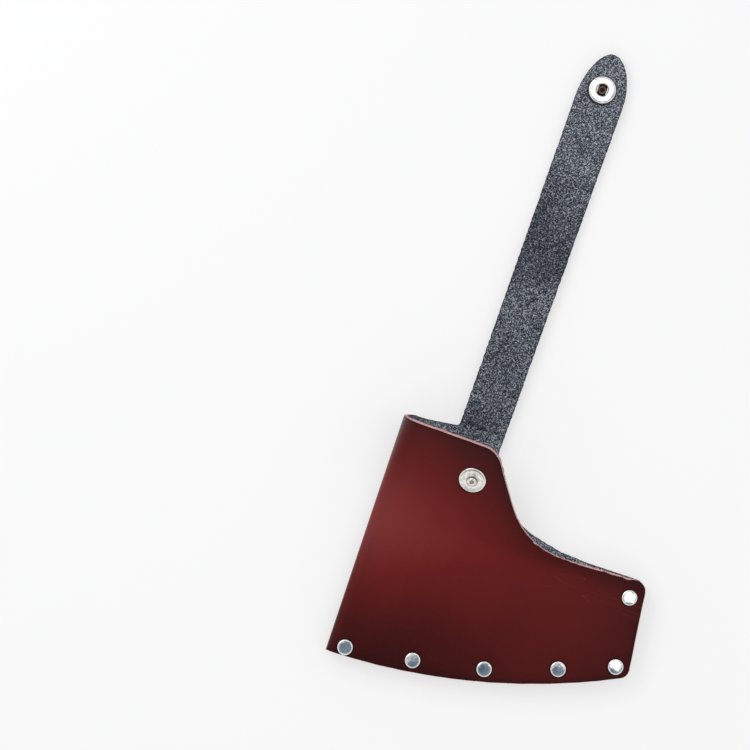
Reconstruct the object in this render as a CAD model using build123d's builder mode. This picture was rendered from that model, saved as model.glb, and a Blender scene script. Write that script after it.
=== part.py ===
"""Leather blade sheath for a felling axe: one folded, riveted blank with a snap strap.

Millimetres. The sheath lies on its back: X runs from the fold towards the heel of the
blade, Y from the cutting edge towards the mouth and the strap, and Z up through the
front panel. The origin is on the toe rivet's axis, in the plane of the rivet feet.
"""
import os
from math import asin, atan, cos, degrees, sin, sqrt

from build123d import *

# Sheet: leather outside, bonded textile lining inside
leather = 2.0
lining = 0.6
sheet = leather + lining
welt = 2.5  # strip between the two panels along the riveted edges
seam = 2 * sheet + welt  # riveted edge, outer face to outer face
fit = 0.05  # radial clearance of a shank in its hole

# The fold's lower corner is the datum of the outlines; it lies this far from the toe rivet
fold_x = -8.4
hem_y = -4.3

# Outlines of the panels, measured from the datum
blade_width = 144.5
hem_radius = 322.0
heel_height = 80.9  # upper corner of the heel
heel_setback = 5.5  # how far that corner stands inside the blade width
front_neck = (75.9, 78.6)
front_shoulder = (48.3, 119.1)
back_neck = (85.8, 80.9)
back_fall = 0.466  # slope of the back panel's edge from there up to the strap's foot
hem_corner_radius = 5.0
heel_corner_radius = 6.0
front_neck_radius = 38.0
back_neck_radius = 100.0
shoulder_radius = 13.0
strap_foot_radius = 20.0
strap_root_radius = 1.5

# Mouth: the front panel rises in a parabola that starts at bulge_start
bulge_start = 64.0
mouth_rise = 23.0  # of the crown, at the front panel's cut edge
crown_width = 50.0  # full rise from the fold to here
heel_flat = 14.5  # margin with no rise at the heel, from the blade width
fold_opening = 10.0  # half-width of the opened fold at the mouth
mouth_back = 122.85  # cut edge at the back panel
mouth_front = 119.9  # cut edge at the front panel
mouth_climb = 0.078  # slope of the back panel's cut edge towards the strap
bulge_sections = 13

# Strap: one piece with the back panel, bent on seven lines
strap_left = 11.5  # left edge from the snap, measured at the snap
strap_right = 12.3  # right edge from the snap
left_lean = 0.0149  # sideways drift of each edge per millimetre of length
right_lean = 0.0214
root_hinge = 127.0
first_run = 58.0
poll_step = 9.0
poll_bends = 5
last_run = 32.0  # from the last bend to the snap
tip_length = 18.2  # from the snap to the strap's point
left_shoulder = 6.3  # the tip's curves start this far before the snap
right_shoulder = 5.0
tip_left_share = 0.48  # fullness of the tip's curves; 0.55 is a quarter of an ellipse
tip_right_share = 0.53
bend_gap = 0.3

# Double-cap rivets: one at the toe, three along the hem, two at the heel
hem_rivets = (41.8, 76.4, 110.8)  # distances from the fold
hem_margins = (5.9, 6.5, 7.5)  # how far each of them stands up from the hem
heel_rivet_inset = 7.3  # lower heel rivet, from the blade width and the hem's end
heel_rivet_lift = 2.9
corner_rivet_inset = 6.1  # upper heel rivet, from the heel's corner
corner_rivet_drop = 9.5
rivet_radius = 4.0
cap_height = 1.5
cap_round = 1.1
cap_crown = 0.5  # metal left over the tube's bore
shank_radius = 1.65
pin_radius = 1.0
pin_length = 6.7
welt_width = 10.0

# Snap fastener
snap_x = 41.4
stud_y = 102.0
socket_y = 303.3
snap_radius = 6.75
pressed = 0.3  # chamfer on pressed metal edges
flange = 0.7
flange_rim = 1.2
flange_dish = 0.35
neck_radius = 1.9
head_radius = 2.35
head_height = 2.9
head_length = 0.7
eyelet_radius = 1.4
eyelet_base_radius = 5.5
tube_wall = 0.5
lip = 0.2
socket_height = 3.2
socket_round = 1.1
socket_wall = 0.5
socket_floor = 0.4
socket_bore = 2.95
spring_chamber = 5.15
wire_radius = 0.35
wire_height = 2.25
wire_reach = 2.2
snap_cap_radius = 7.5
snap_tube_radius = 1.6
snap_lip = 0.3
snap_lip_width = 0.7

# Levels above the resting plane, and places that follow from the sizes above
back_face = cap_height
inner_face = back_face + sheet
split_level = inner_face + welt / 2
front_face = back_face + seam
hem_arc = degrees(asin(blade_width / hem_radius))
heel_corner = (blade_width - heel_setback, heel_height)
bulge_rate = 2 * mouth_rise / (mouth_front - bulge_start) ** 2  # slope gained per millimetre
stud_x = fold_x + snap_x
tip_y = hem_y + socket_y
run_past = 8.0  # raw sections reach this far outside the outlines
above = (Align.CENTER, Align.CENTER, Align.MIN)
below = (Align.CENTER, Align.CENTER, Align.MAX)


def from_fold(point):
    return (fold_x + point[0], hem_y + point[1])


def hem_level(x):
    """Height of the hem's arc over the datum, at a distance x from the fold."""
    return hem_radius - sqrt(hem_radius**2 - x**2)


def rise(y):
    """Rise of the front panel's crown, at a distance y from the hem."""
    return 0.5 * bulge_rate * max(0.0, y - bulge_start) ** 2


def front_height(y, depth=0.0, share=1.0):
    """Height of the front panel at a depth under its face, with a share of the full rise."""
    slope = share * bulge_rate * max(0.0, y - bulge_start)
    return front_face + share * rise(y) - depth / cos(atan(slope))


def strap_edge(y, side):
    """X of the strap's left (-1) or right (1) edge, at a distance y from the hem."""
    reach, lean = (strap_left, left_lean) if side < 0 else (strap_right, right_lean)
    return stud_x - lean * (socket_y - y) + side * reach


def skin(y, depth):
    """Line through the folded sheet at a depth under its face: back, fold, front."""
    low = back_face + depth
    high = front_height(y, depth)
    flat = front_height(y, depth, 0)
    turn = seam / 2 + (fold_opening - seam / 2) * rise(y) / mouth_rise
    end = fold_x + blade_width + run_past
    crown = fold_x + crown_width
    foot = fold_x + blade_width - heel_flat
    middle = (crown + foot) / 2
    Line((end, low), (fold_x + turn, low))
    EllipticalCenterArc(
        (fold_x + turn, (low + high) / 2), turn - depth, (high - low) / 2, 90, arc_size=180
    )
    Line((fold_x + turn, high), (crown, high))
    Bezier((crown, high), (middle, high), (middle, flat), (foot, flat))
    Line((foot, flat), (end, flat))
    return (end, low), (end, flat)


def tip_curve(corner, share):
    """One side of the strap's tip, from its edge to its point."""
    x, y = corner
    end = tip_y + tip_length
    Bezier(corner, (x, y + share * (end - y)), (stud_x + share * (x - stud_x), end), (stud_x, end))


def folded_sheet(outer, inner):
    """Layer of the folded sheet between two depths, before its outline is cut."""
    step = (root_hinge - bulge_start) / (bulge_sections - 1)
    sections = [-run_past] + [bulge_start + i * step for i in range(bulge_sections)]
    with BuildPart() as layer:
        for y in sections:
            with BuildSketch(Plane.XZ.offset(-hem_y - y)):
                with BuildLine():
                    low_outer, high_outer = skin(y, outer)
                    low_inner, high_inner = skin(y, inner)
                    Line(low_outer, low_inner)
                    Line(high_outer, high_inner)
                make_face()
        loft(ruled=True)
    return layer.part


def panel(neck, neck_radius, mouth, mouth_rounds):
    """Outline of one panel: hem, heel edge and neck, then the points of its mouth."""
    corners = [
        (from_fold((blade_width, hem_rise)), hem_corner_radius),
        (from_fold(heel_corner), heel_corner_radius),
        (from_fold(neck), neck_radius),
    ]
    outside = fold_x - fit
    with BuildSketch() as outline:
        with BuildLine():
            JernArc((fold_x, hem_y), (1, 0), hem_radius, hem_arc)
            Polyline(
                *[point for point, radius in corners], *mouth,
                (outside, mouth[-1][1]), (outside, hem_y), (fold_x, hem_y),
            )
        make_face()
        for point, radius in corners + mouth_rounds:
            fillet(outline.vertices().sort_by_distance((*point, 0))[0], radius)
    return outline.sketch


def front_panel():
    shoulder = from_fold(front_shoulder)
    crown = from_fold((fold_opening, mouth_front))
    past_fold = (fold_x, hem_y + mouth_back + run_past)
    mouth = [shoulder, crown, past_fold]
    return panel(front_neck, front_neck_radius, mouth, [(shoulder, shoulder_radius)])


def back_panel():
    end = hem_y + root_hinge - bend_gap / 2
    right = strap_edge(root_hinge, 1)
    left = strap_edge(root_hinge, -1)
    foot = (right, hem_y + back_neck[1] + (fold_x + back_neck[0] - right) * back_fall)
    root = (left, hem_y + mouth_back + mouth_climb * (left - fold_x))
    mouth = [foot, (right, end), (left, end), root, (fold_x, hem_y + mouth_back)]
    rounds = [(foot, strap_foot_radius), (root, strap_root_radius)]
    return panel(back_neck, back_neck_radius, mouth, rounds)


def blank_space():
    """Space inside the cut outlines: the back's below split_level, the front's above it."""
    with BuildPart() as front:
        with BuildSketch(Plane.XY.offset(split_level)):
            add(front_panel())
        extrude(amount=front_height(mouth_front) + run_past)
        mouth = Plane(
            origin=(0, hem_y + mouth_back, split_level),
            z_dir=(0, front_height(mouth_front) - split_level, mouth_back - mouth_front),
        )
        split(bisect_by=mouth, keep=Keep.BOTTOM)
    with BuildPart() as blank:
        with BuildSketch():
            add(back_panel())
        extrude(amount=split_level)
        add(front.part)
    return blank.part


def stud_seat():
    """Plane of the front panel's face under the stud, with Z out of the leather."""
    slope = atan(bulge_rate * (stud_y - bulge_start))
    seat = (stud_x, hem_y + stud_y, front_height(stud_y))
    return Plane(origin=seat, x_dir=(1, 0, 0), z_dir=(0, -sin(slope), cos(slope)))


def sheath_layer(name, space, outer, inner):
    """One layer of the folded blank with its rivet and snap holes."""
    with BuildPart() as layer:
        add(folded_sheet(outer, inner))
        add(space, mode=Mode.INTERSECT)
        with Locations(*[from_fold(point) for point in rivets]):
            Cylinder(shank_radius + fit, 2 * (front_face + run_past), mode=Mode.SUBTRACT)
        with Locations(stud_seat()):
            Cylinder(eyelet_radius + fit, 4 * sheet, mode=Mode.SUBTRACT)
            Cylinder(snap_radius + fit, sheet, align=above, mode=Mode.SUBTRACT)
    layer.part.label = name
    return layer


def turned(name, seat, profile):
    """Piece turned about the seat's Z from points given as (radius, height)."""
    section = Plane(origin=seat.origin, x_dir=seat.x_dir, z_dir=-seat.y_dir)
    with BuildPart() as piece:
        with BuildSketch(section):
            with BuildLine():
                Polyline(*profile, close=True)
            make_face()
        revolve(axis=Axis(seat.origin, seat.z_dir))
    piece.part.label = name
    return piece


def cap(radius):
    """Flat-topped metal cap with a rounded rim, standing on Z = 0."""
    with BuildPart() as button:
        Cylinder(radius, cap_height, align=above)
        fillet(button.faces().sort_by(Axis.Z)[-1].edges(), cap_round)
    return button.part


hem_rise = hem_level(blade_width)
rivets = [(-fold_x, -hem_y)]
rivets += [(x, hem_level(x) + margin) for x, margin in zip(hem_rivets, hem_margins)]
rivets.append((blade_width - heel_rivet_inset, hem_rise + heel_rivet_lift))
rivets.append((heel_corner[0] - corner_rivet_inset, heel_corner[1] - corner_rivet_drop))

os.makedirs("parts", exist_ok=True)

# Blank: the front and back panels and the strap's root, folded from one sheet
blank = blank_space()
sheath_leather = sheath_layer("sheath_leather", blank, 0, leather)
export_step(sheath_leather.part, "parts/sheath_leather.step")

sheath_lining = sheath_layer("sheath_lining", blank, leather, sheet)
export_step(sheath_lining.part, "parts/sheath_lining.step")

# Welt: follows the hem and the heel edge between the two panels
with BuildPart() as edge_welt:
    with BuildSketch(Plane.XY.offset(inner_face)):
        add(front_panel())
        with BuildLine():
            heel_lean = (blade_width - heel_corner[0]) / (heel_corner[1] - hem_rise)
            reach = blade_width - welt_width
            radius = hem_radius - welt_width
            start = (fold_x, hem_y + welt_width)
            hem = JernArc(start, (1, 0), radius, degrees(asin(reach / radius)))
            top = 2 * mouth_back
            lean = heel_lean * (top - hem_rise)
            Polyline(hem @ 1, from_fold((reach - lean, top)), (fold_x, hem_y + top), start)
        make_face(mode=Mode.SUBTRACT)
        with Locations(from_fold((0, welt_width / 2))):
            Rectangle(seam + 1, 2 * top, mode=Mode.SUBTRACT)
        with Locations(*[from_fold(point) for point in rivets]):
            Circle(shank_radius + fit, mode=Mode.SUBTRACT)
    extrude(amount=welt)
edge_welt.part.label = "edge_welt"
export_step(edge_welt.part, "parts/edge_welt.step")

# Rivets: a cap with a tube from the front, a cap with a pin from behind
for number, point in enumerate(rivets, 1):
    front = Plane(origin=(*from_fold(point), front_face))
    with BuildPart(front) as rivet_cap:
        add(cap(rivet_radius))
        Cylinder(shank_radius, seam - bend_gap, align=below)
        with Locations((0, 0, cap_height - cap_crown)):
            Cylinder(pin_radius + fit, 2 * seam, align=below, mode=Mode.SUBTRACT)
    rivet_cap.part.label = f"rivet_cap_{number}"
    export_step(rivet_cap.part, f"parts/rivet_cap_{number}.step")

    back = Plane(origin=(*from_fold(point), back_face), z_dir=(0, 0, -1))
    with BuildPart(back) as rivet_post:
        add(cap(rivet_radius))
        Cylinder(pin_radius, pin_length, align=below)
    rivet_post.part.label = f"rivet_post_{number}"
    export_step(rivet_post.part, f"parts/rivet_post_{number}.step")

# Snap stud on the front panel: dished flange, neck and head round the eyelet's tube
stud_bore = eyelet_radius + fit
snap_stud = turned("snap_stud", stud_seat(), [
    (stud_bore, 0), (snap_radius, 0), (snap_radius, flange - pressed),
    (snap_radius - pressed, flange), (snap_radius - flange_rim, flange),
    (snap_radius - flange_rim - flange_dish, flange - flange_dish),
    (neck_radius + flange_rim, flange - flange_dish), (neck_radius, flange),
    (neck_radius, head_height - head_length), (head_radius, head_height - head_length + pressed),
    (head_radius, head_height - pressed), (head_radius - pressed, head_height),
    (stud_bore, head_height),
])
export_step(snap_stud.part, "parts/snap_stud.step")

# Eyelet that clamps the stud: flange inside the pocket, tube, lip rolled over the head
seat = -sheet - fit
snap_eyelet = turned("snap_eyelet", stud_seat(), [
    (eyelet_radius - tube_wall, seat - flange), (eyelet_base_radius - pressed, seat - flange),
    (eyelet_base_radius, seat - flange + pressed), (eyelet_base_radius, seat),
    (eyelet_radius, seat), (eyelet_radius, head_height),
    (eyelet_radius + tube_wall, head_height), (eyelet_radius + pressed, head_height + lip),
    (eyelet_radius - tube_wall, head_height + lip),
])
export_step(snap_eyelet.part, "parts/snap_eyelet.step")

# Strap: rigid lengths between the bend lines, leather below and lining above
poll_start = root_hinge + first_run
bends = [root_hinge] + [poll_start + i * poll_step for i in range(poll_bends)]
bends.append(socket_y - last_run)
layers = (("strap_leather", back_face, leather), ("strap_lining", back_face + leather, lining))
for number, bend in enumerate(bends, 1):
    is_tip = number == len(bends)
    near = bend + bend_gap / 2
    far = None if is_tip else bends[number] - bend_gap / 2
    left_far = socket_y - left_shoulder if is_tip else far
    right_far = socket_y - right_shoulder if is_tip else far
    corners = [(strap_edge(y, side), hem_y + y) for y, side in
               ((left_far, -1), (near, -1), (near, 1), (right_far, 1))]
    for name, level, thickness in layers:
        with BuildPart() as strap:
            with BuildSketch(Plane.XY.offset(level)):
                with BuildLine():
                    Polyline(*corners, close=not is_tip)
                    if is_tip:
                        tip_curve(corners[0], tip_left_share)
                        tip_curve(corners[-1], tip_right_share)
                make_face()
                if is_tip:
                    with Locations((stud_x, tip_y)):
                        Circle(snap_tube_radius + fit, mode=Mode.SUBTRACT)
            extrude(amount=thickness)
        strap.part.label = f"{name}_{number}"
        export_step(strap.part, f"parts/{name}_{number}.step")

# Snap socket on the strap's lined face: a ring with a chamber for the spring
socket_seat = Plane(origin=(stud_x, tip_y, inner_face))
tube_hole = snap_tube_radius + fit
snap_socket = turned("snap_socket", socket_seat, [
    (tube_hole, 0), (snap_radius, 0), (snap_radius, socket_height - socket_round),
    (snap_radius - pressed, socket_height - pressed),
    (snap_radius - socket_round, socket_height), (socket_bore + pressed, socket_height),
    (socket_bore, socket_height - pressed), (socket_bore, socket_height - socket_wall),
    (spring_chamber, socket_height - socket_wall), (spring_chamber, socket_floor),
    (tube_hole, socket_floor),
])
export_step(snap_socket.part, "parts/snap_socket.step")

# Spring: one wire bent into two legs that grip the stud's neck
with BuildPart() as snap_spring:
    leg = neck_radius + 4 * fit + wire_radius
    with BuildLine(socket_seat.offset(wire_height)) as wire:
        Line((-leg, -wire_reach), (-leg, wire_reach))
        JernArc((-leg, wire_reach), (0, 1), leg, -180)
        Line((leg, wire_reach), (leg, -wire_reach))
    with BuildSketch(Plane(origin=wire.line @ 0, z_dir=wire.line % 0)):
        Circle(wire_radius)
    sweep(path=wire.line)
snap_spring.part.label = "snap_spring"
export_step(snap_spring.part, "parts/snap_spring.step")

# Snap cap under the strap: cap, tube, and a lip rolled over the socket's floor
tube_bore = snap_tube_radius - tube_wall
with BuildPart() as snap_cap:
    with Locations(Plane(origin=(stud_x, tip_y, back_face), z_dir=(0, 0, -1))):
        add(cap(snap_cap_radius))
    tube = turned("snap_cap_tube", socket_seat, [
        (tube_bore, -sheet), (snap_tube_radius, -sheet), (snap_tube_radius, socket_floor),
        (snap_tube_radius + snap_lip_width, socket_floor),
        (snap_tube_radius + snap_lip_width - pressed, socket_floor + snap_lip),
        (tube_bore, socket_floor + snap_lip),
    ])
    add(tube.part)
snap_cap.part.label = "snap_cap"
export_step(snap_cap.part, "parts/snap_cap.step")
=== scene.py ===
# %% [markdown]
# # Dressing a leather axe sheath
# The solids of this sheath are already built. This lesson gives them their looks:
# folded leather with raw cut edges, a bonded lining, nickel rivets and a snap fastener.
# Everything stays in the solids' own frame, in metres, so nothing has to be fitted by eye.

# %% Load the solids
import math
from contextlib import contextmanager

import bmesh
import bpy
import numpy as np
from mathutils import Matrix, Vector, noise
from mathutils.geometry import delaunay_2d_cdt


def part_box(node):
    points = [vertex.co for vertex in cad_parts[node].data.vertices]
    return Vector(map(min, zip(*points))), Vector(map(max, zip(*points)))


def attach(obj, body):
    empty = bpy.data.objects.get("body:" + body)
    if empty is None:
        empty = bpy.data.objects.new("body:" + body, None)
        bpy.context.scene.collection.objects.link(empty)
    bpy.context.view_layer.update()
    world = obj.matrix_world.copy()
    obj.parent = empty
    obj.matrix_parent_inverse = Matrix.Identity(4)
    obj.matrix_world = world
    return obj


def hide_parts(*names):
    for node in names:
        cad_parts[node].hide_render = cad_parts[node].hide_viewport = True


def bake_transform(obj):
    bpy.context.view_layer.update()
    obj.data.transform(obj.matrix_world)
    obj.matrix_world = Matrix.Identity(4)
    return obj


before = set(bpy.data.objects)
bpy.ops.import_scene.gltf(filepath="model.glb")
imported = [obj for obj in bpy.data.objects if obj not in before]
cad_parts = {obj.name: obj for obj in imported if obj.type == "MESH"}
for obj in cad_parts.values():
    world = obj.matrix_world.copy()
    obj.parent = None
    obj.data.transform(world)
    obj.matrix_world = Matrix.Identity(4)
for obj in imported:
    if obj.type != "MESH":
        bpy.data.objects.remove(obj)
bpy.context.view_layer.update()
MM = 0.001

# %% [markdown]
# ## One way to write node trees
# Leather, lining and metal all need node maths, and so does folding the blank. Wiring nodes by
# hand is hard to read, so a small class wraps a socket and lets Python's operators add the Math
# nodes. Every other node comes from one method.


# %% Sockets that work like numbers
class Socket:
    """One output of a node. Arithmetic on it adds Math nodes to its tree."""

    def __init__(self, maker, socket):
        self.maker, self.socket = maker, socket

    def math(self, operation, *values, **settings):
        values = dict(enumerate(values))
        return self.maker.node("ShaderNodeMath", {"operation": operation, **settings}, values)[0]

    def __add__(self, other):
        return self.math("ADD", self, other)

    def __sub__(self, other):
        return self.math("SUBTRACT", self, other)

    def __rsub__(self, other):
        return self.math("SUBTRACT", other, self)

    def __mul__(self, other):
        return self.math("MULTIPLY", self, other)

    def __truediv__(self, other):
        return self.math("DIVIDE", self, other)

    def __rtruediv__(self, other):
        return self.math("DIVIDE", other, self)

    def __pow__(self, other):
        return self.math("POWER", self, other)

    def __abs__(self):
        return self.math("ABSOLUTE", self)

    __radd__, __rmul__ = __add__, __mul__

    def at_least(self, other):
        return self.math("MAXIMUM", self, other)

    def at_most(self, other):
        return self.math("MINIMUM", self, other)

    def over(self, low, high):
        """0 below low, 1 above high, and smooth between."""
        settings = {"interpolation_type": "SMOOTHSTEP"}
        sockets = {"Value": self, "From Min": low, "From Max": high}
        return self.maker.node("ShaderNodeMapRange", settings, sockets)["Result"]

    def band(self, start, full, fade, end):
        """0 below start, 1 from full to fade, and 0 again above end."""
        return self.over(start, full) * (1 - self.over(fade, end))


class Maker:
    """Adds nodes to one tree."""

    def __init__(self, tree):
        self.tree = tree

    def node(self, kind, settings=None, sockets=None):
        """A node of a kind: its settings first, then the values or links of its inputs."""
        node = self.tree.nodes.new(kind)
        for name, value in (settings or {}).items():
            if name == "stops":
                ramp = node.color_ramp
                while len(ramp.elements) < len(value):
                    ramp.elements.new(0.5)
                for element, (position, colour) in zip(ramp.elements, value):
                    element.position, element.color = position, (*colour, 1)
            else:
                setattr(node, name, value)
        for name, value in (sockets or {}).items():
            if isinstance(value, Socket):
                self.tree.links.new(value.socket, node.inputs[name])
            else:
                node.inputs[name].default_value = value
        return Outputs(self, node)

    def mix(self, factor, first, second):
        """Mix of two colours, which the node keeps in its sockets 6 and 7."""
        sockets = {0: factor, 6: first, 7: second}
        return self.node("ShaderNodeMix", {"data_type": "RGBA"}, sockets)[2]


class Outputs:
    """A node's outputs, by name or number."""

    def __init__(self, maker, node):
        self.maker, self.node = maker, node

    def __getitem__(self, key):
        return Socket(self.maker, self.node.outputs[key])


# %% [markdown]
# ## Finishes
# The leather is aniline-dyed and burnished: smooth and semi-gloss. Its colour also holds painted
# light and shade: lighter on the bulge by the fold, with a painted sheen along the fold, darker
# towards the hem and the heel, and painted shade along the neck's slope. Round the metal, where it
# presses the leather, the leather is darker with painted shade. It is also darker near its edges.
# Where it is cut, the undyed pink core shows. One shader does all of it, led by three attributes
# that the sheets will carry: cut_edge is 1 on a cut, near_edge fades away from it, and pressed is
# 1 under metal. Places on the sheath are in millimetres from the toe rivet, the frame's origin.


# %% A shader with its surface socket ready
def srgb(red, green, blue):
    """Colour picked as 0-255 screen values, made linear."""
    linear = []
    for value in (red, green, blue):
        value /= 255
        linear.append(value / 12.92 if value <= 0.04045 else ((value + 0.055) / 1.055) ** 2.4)
    return (*linear, 1)


def emptied(owner):
    """Maker for the node tree of a material or a world, with its nodes cleared."""
    owner.use_nodes = True
    owner.node_tree.nodes.clear()
    return Maker(owner.node_tree)


def finish(name, build):
    """Material whose Principled sockets come from build(maker, place)."""
    material = bpy.data.materials.new(name)
    maker = emptied(material)
    place = maker.node("ShaderNodeTexCoord")["Object"]
    shader = maker.node("ShaderNodeBsdfPrincipled", {}, build(maker, place))
    maker.node("ShaderNodeOutputMaterial", {}, {"Surface": shader["BSDF"]})
    return material


# %% What the finishes read
def in_millimetres(maker, place):
    """x and y of a place, in millimetres."""
    axes = maker.node("ShaderNodeSeparateXYZ", {}, {"Vector": place})
    return axes["X"] / MM, axes["Y"] / MM


def attribute(maker, name):
    """Value that a mesh carries under a name, 0 where it has none."""
    return maker.node("ShaderNodeAttribute", {"attribute_name": name})["Fac"]


def grain(maker, place, size, detail=2, roughness=0.5, stretch=(1, 1, 1), turn=0.0):
    """Noise value whose blobs are about size metres across."""
    place = maker.node("ShaderNodeMapping", {}, {
        "Vector": place, "Rotation": (0, 0, turn), "Scale": stretch,
    })["Vector"]
    return maker.node("ShaderNodeTexNoise", {}, {
        "Vector": place, "Scale": 1 / size, "Detail": detail, "Roughness": roughness,
    })["Fac"]


def bumped(maker, height, distance):
    """Normal from a height, in metres of relief."""
    return maker.node("ShaderNodeBump", {}, {"Height": height, "Distance": distance})["Normal"]


# %% Oxblood leather with a pink cut edge
FACE_SHADE = srgb(22, 8, 8)  # painted shade round the metal, on the leather it presses
FACE_DARK = srgb(50, 9, 9)
FACE_DEEP = srgb(77, 18, 17)
FACE_MID = srgb(103, 26, 26)
FACE_LIGHT = srgb(121, 45, 43)
FACE_SHEEN = srgb(190, 140, 140)  # painted sheen along the fold
FACE_CREASE = srgb(140, 66, 60)
EDGE_DEEP, EDGE_PINK = srgb(172, 120, 122), srgb(216, 178, 176)
TONE_STEPS = (  # tone at which a colour starts to come in, the span it takes, the colour
    (0, 0.35, FACE_DEEP), (0.35, 0.4, FACE_MID), (0.75, 0.35, FACE_LIGHT))
ACROSS_NECK = (0.826, 0.563)  # direction square to the sloping edge of the neck


def dye_and_painted_light(x, y):
    """How light the leather is: dye tone with painted light and shade, most on the bulge by the
    fold, least at the hem and the heel.
    """
    belly = y.over(0, 70) * (1 - y.over(62, 124) * 0.75)
    heel = 0.36 + y.over(0, 60) * 0.12 - x.over(100, 134) * 0.14
    toward_heel = x.over(-10, 125)
    # Painted highlight along the fold, and painted light low on it.
    fold = x.band(-9, 4, 6, 34)
    low_fold = (1 - x.over(-9, 3)) * (1 - y.over(8, 48))
    return belly * (1 - toward_heel) + heel * toward_heel + fold * 0.12 + low_fold * 0.24


def oxblood(maker, place):
    """Burnished face with painted light and shade, and bare cut."""
    x, y = in_millimetres(maker, place)
    mottle = grain(maker, place, 26 * MM, 3)
    fine = grain(maker, place, 1.1 * MM, 3, 0.6)
    pores = grain(maker, place, 0.42 * MM, 2, 0.5)
    fibre = grain(maker, place, 0.5 * MM, 3, 0.7)
    cut = (attribute(maker, "cut_edge") + (fibre - 0.5) * 0.5).over(0.4, 0.55)
    # Painted shade along the steep slope of the neck.
    neck_shade = (x * ACROSS_NECK[0] + y * ACROSS_NECK[1]).over(67.6, 93.6) * y.over(66, 74)
    tone = dye_and_painted_light(x, y) + (mottle - 0.5) * 0.2 + (fine - 0.5) * 0.12
    tone = tone - attribute(maker, "near_edge") * 0.3 - neck_shade * 0.18
    face = FACE_DARK
    for start, span, lighter in TONE_STEPS:
        face = maker.mix(((tone - start) / span).at_least(0).at_most(1), face, lighter)
    # Painted sheen along the middle of the fold.
    fold_sheen = (1 - x.over(-9, 10)) * y.band(22, 60, 78, 104)
    face = maker.mix(fold_sheen * 0.045, face, FACE_SHEEN)
    strands = grain(maker, place, 5.0 * MM, 1, 0.5, (0.10, 1, 1), math.radians(3))
    near_heel = x.over(76, 108) * y.band(56, 62, 68, 73)
    crease = (1 - abs(strands - 0.5).over(0.0, 0.012)) * near_heel
    face = maker.mix(crease * 0.3, face, FACE_CREASE)
    # Painted shade round the rivets and the stud, on the leather they press.
    face = maker.mix(attribute(maker, "pressed").over(0.6, 1.0) * 0.7, face, FACE_SHADE)
    edge = maker.mix(fibre.over(0.35, 0.62), EDGE_DEEP, EDGE_PINK)
    height = fine * 0.5 + pores * 0.35 + mottle * 0.4 - crease * 0.8
    return {
        "Base Color": maker.mix(cut, face, edge),
        "Roughness": 0.33 + (fine - 0.5) * 0.2 + cut * 0.45,
        "Normal": bumped(maker, height * (1 - cut) + fibre * cut * 3, 0.05 * MM),
        "Specular IOR Level": 0.1,
    }


leather_finish = finish("oxblood_leather", oxblood)

# %% [markdown]
# ## Lining and welt
# The lining is a felt bonded to the inside of the leather, dark fibres flecked with pale ones.
# A Voronoi texture gives each fleck its own tone and noise breaks them up. It is paler towards
# the strap's tip, darker in a band along the strap, and dark where it frays at a cut. Inside the
# pocket it is painted paler, as painted light where the front panel shades it. Round the snap's
# socket a dark ring, set a little off its axis, is a painted shadow. The welt between the panels
# is plain undyed leather, seen from its layered side.

# %% Bonded lining, a heathered grey
LINING_DARK, LINING_MID, LINING_PALE = srgb(28, 31, 39), srgb(80, 85, 96), srgb(182, 187, 198)
# Dark of the frayed cut edges, and of the painted shadow round the socket.
LINING_FRAY_AND_SHADOW = srgb(26, 27, 33)
SHADOW_SHIFT = Vector((-0.3, -0.55, 0.0))  # the painted shadow lies a little off the socket


def heathered(maker, place):
    """Flecked felt, paler and darker in places, with painted light in the pocket and a painted
    shadow round the socket.
    """
    x, y = in_millimetres(maker, place)
    weave = grain(maker, place, 0.45 * MM, 2, 0.75)
    patches = grain(maker, place, 16 * MM, 2)
    flecks = maker.node("ShaderNodeTexVoronoi", {}, {"Vector": place, "Scale": 1 / (0.40 * MM)})
    tone = maker.node("ShaderNodeSeparateColor", {}, {"Color": flecks["Color"]})["Red"]
    # Painted light inside the pocket, where the front panel shades the lining.
    painted_pocket_light = 1 - y.over(112, 126)
    # Darker in a band along the strap.
    darker_band = y.band(192, 206, 222, 262)
    paler = y.over(238, 264) * 0.05 + painted_pocket_light * 0.14 - darker_band * 0.075 - 0.055
    speck = tone * 0.66 + weave * 0.5 + (patches - 0.5) * 0.2 + paler
    base = maker.mix(speck.over(0.28, 0.60), LINING_DARK, LINING_MID)
    base = maker.mix(speck.over(0.60, 0.92), base, LINING_PALE)
    # Painted shadow round the socket, set a little off its axis.
    low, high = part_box("snap_socket")
    ring = (low + high) / 2 / MM + SHADOW_SHIFT
    across, along = x - ring.x, y - ring.y
    socket_shadow = 1 - ((across * across + along * along) ** 0.5).over(6.6, 7.6)
    fray_and_shadow = (attribute(maker, "cut_edge") * 0.8).at_least(socket_shadow * 0.85)
    return {
        "Base Color": maker.mix(fray_and_shadow, base, LINING_FRAY_AND_SHADOW),
        "Roughness": 0.95,
        "Specular IOR Level": 0.2,
        "Normal": bumped(maker, weave + tone * 0.6, 0.12 * MM),
    }


lining_finish = finish("heathered_lining", heathered)

# %% Undyed welt
WELT_DEEP, WELT_PALE = srgb(146, 88, 76), srgb(206, 158, 142)


def undyed(maker, place):
    """Pale layers, as on the side of a stacked strip."""
    layers = grain(maker, place, 0.9 * MM, 4, 0.7, (0.35, 0.35, 2.5))
    return {
        "Base Color": maker.mix(layers, WELT_DEEP, WELT_PALE),
        "Roughness": 0.85,
        "Normal": bumped(maker, layers, 0.1 * MM),
    }


welt_finish = finish("undyed_welt", undyed)

# %% [markdown]
# ## Plated metal
# Rivets and snap are pressed from sheet and nickel-plated: bright, with shallow dents and
# rubs. Down in the stud and the socket the plate is tarnished brown and darkened with painted
# shade. The lathe further on writes that into each mesh as the attribute tarnish, and
# the finish reads it.

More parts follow.
